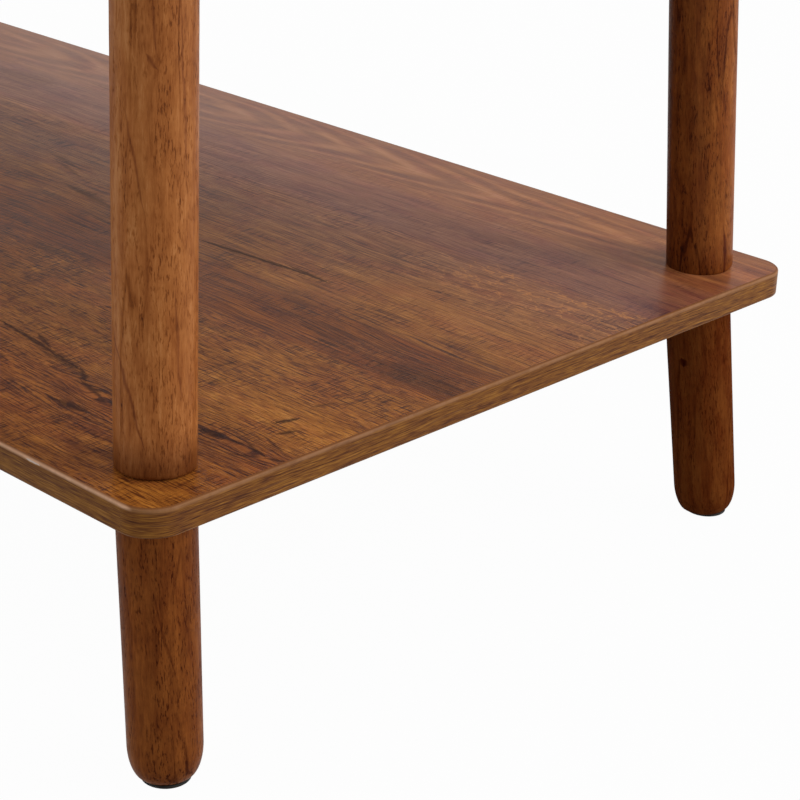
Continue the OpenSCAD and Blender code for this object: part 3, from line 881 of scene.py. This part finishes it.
def makeLegGrain(look):
    tree, put, give = newGroup(
        "legGrain",
        [("Place", "Vector", None), ("Seed", "Vector", (0, 0, 0)), ("Tone", "Float", 0.0),
         ("Red", "Float", 0.5), ("Pale", "Vector", (0, 0, 0)), ("Figure", "Float", 0.3)],
        [("Colour", "Color"), ("Dark", "Float"), ("Height", "Float")],
    )
    noises, tones = look["noises"], look["tones"]
    place = vectorCalc(tree, "ADD", put["Place"], put["Seed"])
    x, y, _ = parted(tree, put["Place"])
    swayX = swing(tree, cloud(tree, place, *noises["swayX"]), 14)
    swayY = swing(tree, cloud(tree, place, *noises["swayY"]), 14)
    heartX = total(tree, x, swayX, look["heart"][0])
    heartY = total(tree, y, swayY, look["heart"][1])
    radius = calc(tree, "SQRT", squareSum(tree, heartX, heartY))
    ringWave = swing(tree, cloud(tree, place, *noises["ring"]), 1.5)
    tooth = calc(tree, "FRACT", total(tree, calc(tree, "DIVIDE", radius, look["ringStep"]), ringWave))
    ring = times(tree, calc(tree, "POWER", tooth, 3), ease(tree, tooth, 1.0, 0.9))
    # blotchy figure, ripples across it, streaks and short fibres
    figure = cloud(tree, place, *noises["figure"])
    ripple = cloud(tree, place, *noises["ripple"])
    streak = cloud(tree, place, *noises["streak"])
    fibre = cloud(tree, place, *noises["fibre"])
    pore = ease(tree, cloud(tree, place, *noises["pore"]), 0.51, 0.66)
    crowd = ease(tree, cloud(tree, place, *noises["poreCrowd"]), 0.36, 0.62)
    pore = times(tree, pore, total(tree, times(tree, crowd, 0.85), 0.15))
    # thin dark veins follow a level line of a slow noise
    slow = cloud(tree, place, *noises["vein"])
    vein = ease(tree, calc(tree, "ABSOLUTE", calc(tree, "SUBTRACT", slow, 0.535)), 0.016, 0.001)
    vein = times(tree, vein, ease(tree, cloud(tree, place, *noises["veinPatch"]), 0.40, 0.56))
    figured = total(
        tree, swing(tree, figure, tones["figure"]), swing(tree, ripple, tones["ripple"]),
        swing(tree, streak, tones["streak"]), swing(tree, fibre, tones["fibre"]),
        times(tree, ring, tones["ring"]))
    # painted light and shade: the dot product with the side vector paints one side of the leg lighter and the
    # other darker
    tone = total(
        tree, tones["all"], put["Tone"], vectorCalc(tree, "DOT_PRODUCT", put["Place"], put["Pale"]),
        times(tree, figured, put["Figure"]),
        times(tree, times(tree, pore, put["Figure"]), tones["pore"]),
        times(tree, times(tree, vein, put["Figure"]), tones["vein"]))
    colour = ramp(tree, tone, look["colours"])
    red = times(tree, put["Red"], ease(tree, figure, 0.62, 0.35))
    colour = mixColour(tree, red, colour, look["redTint"], "MULTIPLY")
    feed(tree, give["Colour"], colour)
    feed(tree, give["Dark"], calc(tree, "MAXIMUM", pore, vein))
    feed(tree, give["Height"], total(
        tree, times(tree, pore, -1.0), swing(tree, fibre, 0.3), swing(tree, streak, 0.3)))
    return tree


def drawVeins(tree, place, veins):
    # a leg's own long veins, which run through to its other side as well
    side = Vector(legFinish["veinSide"])
    up = Vector((0, 0, 1))
    wobble = swing(tree, cloud(tree, place, (7, 7, 17), (3, 3, 9), detail=2), 1.5)
    drawn = 0.0
    for across, rise, lean, long, wide, strength in veins:
        tilt = math.radians(lean)
        vein = useGroup(
            tree, stroke, Place=place, Middle=across * side + rise * up,
            Along=(side * math.sin(tilt) + up * math.cos(tilt)) / long,
            Across=(side * math.cos(tilt) - up * math.sin(tilt)) / wide, Sway=wobble)
        drawn = calc(tree, "MAXIMUM", drawn, times(tree, vein["Mask"], strength))
    return drawn


def makeLegMaterial(name, group, stain, veins, seed, origin, turn):
    look = legFinish
    material, tree, shader, place = newMaterial(name, look["shader"])
    shader.inputs["Specular IOR Level"].default_value = stain["gloss"]
    upright = tree.nodes.new("ShaderNodeMapping")
    upright.vector_type = "TEXTURE"
    upright.inputs["Location"].default_value = origin * 1000
    upright.inputs["Rotation"].default_value = turn.to_euler()
    feed(tree, upright.inputs["Vector"], place)
    place = upright.outputs[0]
    made = useGroup(
        tree, group, Place=place, Seed=seed, Tone=stain["tone"], Red=stain["red"], Pale=stain["paintedSideLight"],
        Figure=stain["figure"])
    worn = useGroup(tree, rub, Place=place, Size=look["rubSize"])
    drawn = drawVeins(tree, place, veins)
    colour = mixColour(tree, drawn, made["Colour"], look["veinShade"], "MULTIPLY")
    # painted shadow: an upper leg is painted darker towards its foot on the shelf, where shade falls
    if stain["paintedFootShadow"]:
        _, _, z = parted(tree, place)
        paintedShadowMask = times(tree, ease(tree, z, *look["paintedShadowFrom"]), stain["paintedFootShadow"])
        colour = mixColour(tree, paintedShadowMask, colour, look["paintedShadowColour"], "MULTIPLY")
    feed(tree, shader.inputs["Base Color"], colour)
    feed(tree, shader.inputs["Coat Weight"], times(tree, ease(tree, made["Dark"], 1.0, 0.0), look["coat"]))
    feed(tree, shader.inputs["Roughness"], total(
        tree, look["roughness"], times(tree, made["Dark"], 0.15), times(tree, worn["Smudge"], 0.06)))
    emboss(tree, shader, made["Height"], look["relief"])
    return material


# Legs: turned on a lathe, leaning, and cut flat where they meet the boards and the pads
upperLeg = {"radius": 0.020, "endRound": 0.003, "roundSteps": 7, "ringStep": 0.009}
lowerLeg = {
    "radius": 0.020,
    "footRadius": 0.019,
    "tipRadius": 0.011,
    "footHeight": 0.0185,
    "footSteps": 18,
    "ringStep": 0.009,
}
turning = {"sides": 96, "ripple": 0.00004}


def straightRun(lowRadius, low, highRadius, high, step):
    # rings up a straight or tapered stretch, with the faint ripple that the lathe leaves
    count = round((high - low) / step)
    points = []
    for index in range(1, count):
        share = index / count
        points.append((
            lowRadius + (highRadius - lowRadius) * share + random.uniform(-1, 0) * turning["ripple"],
            low + (high - low) * share))
    return points


def upperCurve(length):
    # the same round at both ends
    look = upperLeg
    radius, bend = look["radius"], look["endRound"]
    flat = radius - bend
    end = [(0, 0), (flat / 2, 0)]
    end += [(flat + out, up) for out, up in quarterArc(look["roundSteps"], bend, bend)]
    run = straightRun(radius, bend, radius, length - bend, look["ringStep"])
    return end + run + [(out, length - up) for out, up in reversed(end)]


def lowerCurve(length):
    # a flat tip, a quarter of an ellipse and the straight taper above it
    look = lowerLeg
    tip, side = look["tipRadius"], look["footRadius"]
    foot = [(0, 0), (tip / 2, 0)]
    foot += [(tip + out, up) for out, up in quarterArc(look["footSteps"], side - tip, look["footHeight"])]
    run = straightRun(side, look["footHeight"], look["radius"], length, look["ringStep"])
    return foot + run + [(look["radius"], length), (0, length)]


def trimFlat(form, height, keepAbove):
    # cuts the leaning form by a level plane and closes it again
    made = bmesh.ops.bisect_plane(
        form, geom=form.verts[:] + form.edges[:] + form.faces[:], dist=1e-6,
        plane_co=(0, 0, height), plane_no=(0, 0, 1), clear_inner=keepAbove, clear_outer=not keepAbove)
    rim = [part for part in made["geom_cut"] if isinstance(part, bmesh.types.BMEdge)]
    if rim:
        bmesh.ops.contextual_create(form, geom=rim)


def placeLeg(name, curve, node, foot, head, overshoot, grain):
    # turns the curve's leg over from upright, sets it on its foot point and trims both ends
    low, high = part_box(node)
    axis = (head - foot).normalized()
    turn = Vector((0, 0, 1)).rotation_difference(axis)
    origin = foot - axis * overshoot
    form = bmesh.new()
    turnOnLathe(form, curve, turning["sides"])
    bmesh.ops.transform(form, matrix=Matrix.Translation(origin) @ turn.to_matrix().to_4x4(), verts=form.verts)
    trimFlat(form, low.z, True)
    trimFlat(form, high.z, False)
    material = makeLegMaterial(name + "Wood", *grain, origin, turn)
    piece = finishMesh(name, form, material, legFinish["smoothAngle"])
    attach(piece, "root")
    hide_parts(node)


def makeUpperLeg(name, corner, grain):
    look = upperLeg
    node = "upper_leg_" + corner
    low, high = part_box(node)
    foot = Vector((*middleOf("shelf_bolt_" + corner).xy, low.z))
    head = Vector((*middleOf("top_bolt_" + corner).xy, high.z))
    axis = head - foot
    overshoot = (look["radius"] - look["endRound"]) * axis.xy.length / axis.z
    placeLeg(name, upperCurve(axis.length + 2 * overshoot), node, foot, head, overshoot, grain)


def makeLowerLeg(name, corner, grain):
    look = lowerLeg
    node = "lower_leg_" + corner
    low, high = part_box(node)
    head = Vector((*middleOf("shelf_bolt_" + corner).xy, high.z))
    foot = Vector((*middleOf("glide_pad_" + corner).xy, low.z))
    axis = head - foot
    slope = axis.xy.length / axis.z
    overshoot = look["tipRadius"] * slope
    curve = lowerCurve(axis.length + overshoot + look["radius"] * slope)
    placeLeg(name, curve, node, foot, head, overshoot, grain)


# long thin veins and small knots of a leg: place across the leg and up it, lean, half length, half width,
# strength
legVeins = {
    "upper_front_right": [
        (-10.2, 42, -16, 34, 1.1, 0.62), (12.2, 66, -3, 36, 0.8, 0.5), (14.8, 178, -1.5, 48, 0.8, 0.5),
        (-6.5, 150, -11, 28, 1.0, 0.5), (2.5, 212, -5, 16, 0.9, 0.5), (1.2, 196.5, -38, 5, 1.8, 0.6)],
    "upper_back_right": [
        (12.8, 10, 0, 26, 1.8, 0.95), (10.6, 107, -6, 14, 0.9, 0.5), (6.4, 104, -8, 11, 0.9, 0.45)],
    "lower_front_right": [(4.0, 82, -11, 28, 1.0, 0.55), (10.6, 115, 10.7, 13, 0.9, 0.45)],
    "lower_back_right": [(-11.6, 105, -4, 3.6, 2.2, 1.0), (-5.9, 72, 3.7, 42, 0.9, 0.3)],
}

# each leg's stain, upper leg and lower leg: tone, redness, how strong its figure is, painted light and shade
# as tone per mm towards its lighter side, gloss, and how strong the painted shadow at its foot on the shelf
# is
legStains = {
    "front_right": (
        {"tone": 0.205, "red": 0.2, "figure": 0.32, "paintedSideLight": (-0.0023, -0.0023, 0),
         "gloss": 0.09, "paintedFootShadow": 0.75},
        {"tone": -0.095, "red": 0.4, "figure": 0.24, "paintedSideLight": (-0.0012, -0.0012, 0),
         "gloss": 0.03, "paintedFootShadow": 0}),
    "back_right": (
        {"tone": -0.09, "red": 0.6, "figure": 0.24, "paintedSideLight": (0.0034, 0.0032, 0),
         "gloss": 0.05, "paintedFootShadow": 0.25},
        {"tone": -0.215, "red": 0.7, "figure": 0.13, "paintedSideLight": (-0.0008, -0.0008, 0),
         "gloss": 0.0, "paintedFootShadow": 0}),
    "front_left": (
        {"tone": 0.02, "red": 0.4, "figure": 0.3, "paintedSideLight": (0, 0.001, 0), "gloss": 0.09, "paintedFootShadow": 0.5},
        {"tone": -0.04, "red": 0.5, "figure": 0.25, "paintedSideLight": (0, 0, 0), "gloss": 0.03, "paintedFootShadow": 0}),
    "back_left": (
        {"tone": -0.02, "red": 0.3, "figure": 0.3, "paintedSideLight": (0.001, 0, 0), "gloss": 0.09, "paintedFootShadow": 0.5},
        {"tone": -0.06, "red": 0.6, "figure": 0.22, "paintedSideLight": (0, 0, 0), "gloss": 0.03, "paintedFootShadow": 0}),
}


def makeLegs():
    group = makeLegGrain(legFinish)
    for index, (corner, (upper, lower)) in enumerate(legStains.items()):
        # each leg is cut from another place in the log
        upperSeed = (137 * index, 41 * index, 411 * index)
        lowerSeed = (59 * index + 300, 83 * index, 271 * index)
        upperVeins = legVeins.get("upper_" + corner, [])
        lowerVeins = legVeins.get("lower_" + corner, [])
        makeUpperLeg("upperLeg" + inOneWord(corner), corner, (group, upper, upperVeins, upperSeed))
        makeLowerLeg("lowerLeg" + inOneWord(corner), corner, (group, lower, lowerVeins, lowerSeed))


makeLegs()
print("legs turned")


# Glide pads: black rubber discs with a rounded rim
padLook = {
    "rim": 0.0006,
    "rimSteps": 5,
    "colour": (0.006, 0.006, 0.006),
    "dust": (0.055, 0.05, 0.045),
    "dusty": 0.35,
    "roughness": 0.7,
    "shader": {"Specular IOR Level": 0.15},
    "relief": 0.00008,
    "smoothAngle": 50,
}


def makePadMaterial():
    look = padLook
    material, tree, shader, place = newMaterial("padRubber", look["shader"])
    speck = cloud(tree, place, (0.5, 0.5, 0.5), detail=3, roughness=0.7)
    worn = useGroup(tree, rub, Place=place, Size=9)
    dusty = times(tree, worn["Smudge"], look["dusty"])
    feed(tree, shader.inputs["Base Color"], mixColour(tree, dusty, look["colour"], look["dust"]))
    feed(tree, shader.inputs["Roughness"], total(
        tree, look["roughness"], swing(tree, speck, 0.12), times(tree, worn["Scuff"], 0.1)))
    emboss(tree, shader, speck, look["relief"])
    return material


def padCurve(radius, thick):
    # the same rounded rim below and above
    rim = padLook["rim"]
    half = [(0, 0), (radius / 2, 0)]
    half += [(radius - rim + out, up) for out, up in quarterArc(padLook["rimSteps"], rim, rim)]
    return half + [(out, thick - up) for out, up in reversed(half)]


def makePads():
    material = makePadMaterial()
    for corner in legStains:
        node = "glide_pad_" + corner
        low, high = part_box(node)
        form = bmesh.new()
        turnOnLathe(form, padCurve((high.x - low.x) / 2, high.z - low.z), turning["sides"])
        name = "glidePad" + inOneWord(corner)
        piece = finishMesh(name, form, material, padLook["smoothAngle"])
        piece.location = Vector((*middleOf(node).xy, low.z))
        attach(piece, "root")
        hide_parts(node)


makePads()
print("glide pads made")


# Steel parts: threaded bolts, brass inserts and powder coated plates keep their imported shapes
steelLook = {
    # colour, tarnish, roughness, and whether the surface shows a thread
    "zinc": ((0.60, 0.61, 0.62), (0.34, 0.34, 0.33), 0.34, True),
    "brass": ((0.70, 0.50, 0.22), (0.36, 0.22, 0.09), 0.38, True),
    "screw": ((0.60, 0.61, 0.62), (0.30, 0.30, 0.29), 0.36, False),
    "threadPitch": 1.25,
    "relief": 0.0006,
}


def makeMetal(name, colour, tarnish, roughness, threaded):
    material, tree, shader, place = newMaterial(name, {"Metallic": 1.0})
    worn = useGroup(tree, rub, Place=place, Size=6)
    spangle = cloud(tree, place, (2.2, 2.2, 2.2), detail=3, roughness=0.6)
    smudged = times(tree, worn["Smudge"], 0.5)
    shade = calc(tree, "ADD", smudged, swing(tree, spangle, 0.25), clamp=True)
    feed(tree, shader.inputs["Base Color"], mixColour(tree, shade, colour, tarnish))
    feed(tree, shader.inputs["Roughness"], total(
        tree, roughness, swing(tree, spangle, 0.10), times(tree, worn["Scuff"], 0.12)))
    height = times(tree, spangle, 0.1)
    if threaded:
        _, _, z = parted(tree, place)
        turn = calc(tree, "FRACT", calc(tree, "DIVIDE", z, steelLook["threadPitch"]))
        height = total(tree, height, calc(tree, "PINGPONG", turn, 0.5))
    emboss(tree, shader, height, steelLook["relief"])
    return material


powderLook = {
    "colour": (0.020, 0.020, 0.021),
    "dust": (0.045, 0.044, 0.043),
    "roughness": 0.48,
    "shader": {"Specular IOR Level": 0.5},
    "relief": 0.00015,
}


def makePowderCoat():
    look = powderLook
    material, tree, shader, place = newMaterial("plateCoat", look["shader"])
    orangePeel = cloud(tree, place, (0.9, 0.9, 0.9), detail=2)
    worn = useGroup(tree, rub, Place=place, Size=12)
    dusty = times(tree, worn["Smudge"], 0.4)
    feed(tree, shader.inputs["Base Color"], mixColour(tree, dusty, look["colour"], look["dust"]))
    feed(tree, shader.inputs["Roughness"], total(
        tree, look["roughness"], swing(tree, orangePeel, 0.10), times(tree, worn["Scuff"], 0.12)))
    emboss(tree, shader, orangePeel, look["relief"])
    return material


screwLook = {
    "inset": 0.021,   # from the plate's middle, both ways
    "headRadius": 0.00375,
    "rim": 0.0002,
    "shankRadius": 0.0020,
    "rootRadius": 0.0014,
    "length": 0.013,
    "pitch": 0.0017,
    "crossReach": 0.0021,
    "crossHalf": 0.00042,
    "crossDepth": 0.0016,
    "crossTaper": (0.45, 0.75),   # how much of the cross's reach and width is left at its floor
    "sides": 32,
    "smoothAngle": 30,
}


def screwCurve():
    # countersunk head down, and a coarse thread up into the board
    look = screwLook
    head, shank, root, pitch = look["headRadius"], look["shankRadius"], look["rootRadius"], look["pitch"]
    curve = [(head, 0.0), (head, look["rim"]), (root, head - shank)]
    up = head - shank + pitch / 2
    while up < look["length"] - pitch:
        curve += [(shank, up), (root, up + pitch / 2)]
        up += pitch
    return curve + [(root / 3, look["length"])]


def addScrew(form, origin):
    look = screwLook
    sides = look["sides"]
    rings = turnOnLathe(form, screwCurve(), sides, origin)
    form.faces.new(rings[-1])
    # the cross recess in the head
    reach, half = look["crossReach"], look["crossHalf"]
    leftX, leftY = look["crossTaper"]
    outline = []
    for quarter in range(4):
        turn = Matrix.Rotation(math.pi / 2 * quarter, 2)
        outline += [turn @ Vector(spot) for spot in ((half, -half), (reach, -half), (reach, half))]
    mouth = [form.verts.new(origin + Vector((spot.x, spot.y, 0))) for spot in outline]
    deep = [Vector((spot.x * leftX, spot.y * leftY, look["crossDepth"])) for spot in outline]
    floorRing = [form.verts.new(origin + spot) for spot in deep]
    rim = [form.edges.get((rings[0][side], rings[0][(side + 1) % sides])) for side in range(sides)]
    for index in range(len(mouth)):
        after = (index + 1) % len(mouth)
        rim.append(form.edges.new((mouth[index], mouth[after])))
        form.faces.new((mouth[after], mouth[index], floorRing[index], floorRing[after]))
    form.faces.new(floorRing)
    bmesh.ops.triangle_fill(form, edges=rim, use_beauty=True)


def makeScrews():
    form = bmesh.new()
    inset = screwLook["inset"]
    for corner in legStains:
        low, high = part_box("top_plate_" + corner)
        middle = (low + high) / 2
        for sideX in (-1, 1):
            for sideY in (-1, 1):
                addScrew(form, Vector((middle.x + sideX * inset, middle.y + sideY * inset, low.z)))
    bmesh.ops.recalc_face_normals(form, faces=form.faces[:])
    bright = makeMetal("screwZinc", *steelLook["screw"])
    screws = finishMesh("plateScrews", form, bright, screwLook["smoothAngle"])
    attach(screws, "root")
    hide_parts("plate_screws")


def dressSteel():
    zinc = makeMetal("zincSteel", *steelLook["zinc"])
    brass = makeMetal("insertBrass", *steelLook["brass"])
    powder = makePowderCoat()
    looks = {"shelf_bolt_": zinc, "top_bolt_": zinc, "leg_insert_": brass, "top_plate_": powder}
    for corner in legStains:
        for node, material in looks.items():
            dress(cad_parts[node + corner], material)


dressSteel()
makeScrews()
print("steel parts finished")


# Floor, white surroundings and soft light
stageLook = {
    "floorSize": 9.0,
    "floorShade": 0.50,
    "cameraWhite": 0.975,   # share of plain white that the camera sees on the floor, the rest takes shadow
    "ambient": 0.70,
    "keyPlace": (2.1, 1.3, 0.95),
    "keyAim": (0.35, 0.05, 0.20),
    "keySize": (1.4, 1.0),
    "keyPower": 30,
}


def seenDirectly(tree):
    # one where the camera looks, straight or by way of metal and glass
    path = tree.nodes.new("ShaderNodeLightPath")
    share = path.outputs["Is Camera Ray"]
    for label in ("Is Glossy Ray", "Is Transmission Ray"):
        share = calc(tree, "MAXIMUM", share, path.outputs[label])
    return share


def finishStageTree(tree, share, plain, shown, kind):
    # plain is what lights the object, shown is what is seen behind it
    mix = tree.nodes.new("ShaderNodeMixShader")
    feed(tree, mix.inputs[0], share)
    tree.links.new(plain.outputs[0], mix.inputs[1])
    tree.links.new(shown.outputs[0], mix.inputs[2])
    out = tree.nodes.new(kind)
    tree.links.new(mix.outputs[0], out.inputs["Surface"])


def makeWorld():
    world = bpy.data.worlds.new("studio")
    bpy.context.scene.world = world
    world.use_nodes = True
    tree = world.node_tree
    tree.nodes.clear()
    plain = tree.nodes.new("ShaderNodeBackground")
    plain.inputs["Color"].default_value = (1, 1, 1, 1)
    plain.inputs["Strength"].default_value = stageLook["ambient"]
    white = tree.nodes.new("ShaderNodeBackground")
    white.inputs["Color"].default_value = (1, 1, 1, 1)
    finishStageTree(tree, seenDirectly(tree), plain, white, "ShaderNodeOutputWorld")


def makeFloor():
    form = bmesh.new()
    half = stageLook["floorSize"] / 2
    form.faces.new([form.verts.new((x * half, y * half, 0)) for x, y in ((-1, -1), (1, -1), (1, 1), (-1, 1))])
    mesh = bpy.data.meshes.new("floor")
    form.to_mesh(mesh)
    form.free()
    floor = bpy.data.objects.new("floor", mesh)
    bpy.context.scene.collection.objects.link(floor)
    material = bpy.data.materials.new("paleFloor")
    material.use_nodes = True
    tree = material.node_tree
    tree.nodes.clear()
    matt = tree.nodes.new("ShaderNodeBsdfDiffuse")
    matt.inputs["Color"].default_value = (stageLook["floorShade"],) * 3 + (1,)
    glow = tree.nodes.new("ShaderNodeEmission")
    share = times(tree, seenDirectly(tree), stageLook["cameraWhite"])
    finishStageTree(tree, share, matt, glow, "ShaderNodeOutputMaterial")
    dress(floor, material)


def makeLight(name, place, aim, size, power):
    lamp = bpy.data.lights.new(name, "AREA")
    lamp.shape = "RECTANGLE"
    lamp.size, lamp.size_y = size
    lamp.energy = power
    holder = bpy.data.objects.new(name, lamp)
    bpy.context.scene.collection.objects.link(holder)
    holder.location = place
    holder.rotation_euler = (Vector(aim) - Vector(place)).to_track_quat("-Z", "Y").to_euler()


makeWorld()
makeFloor()
makeLight("keyLight", stageLook["keyPlace"], stageLook["keyAim"], stageLook["keySize"], stageLook["keyPower"])
print("floor and light set")
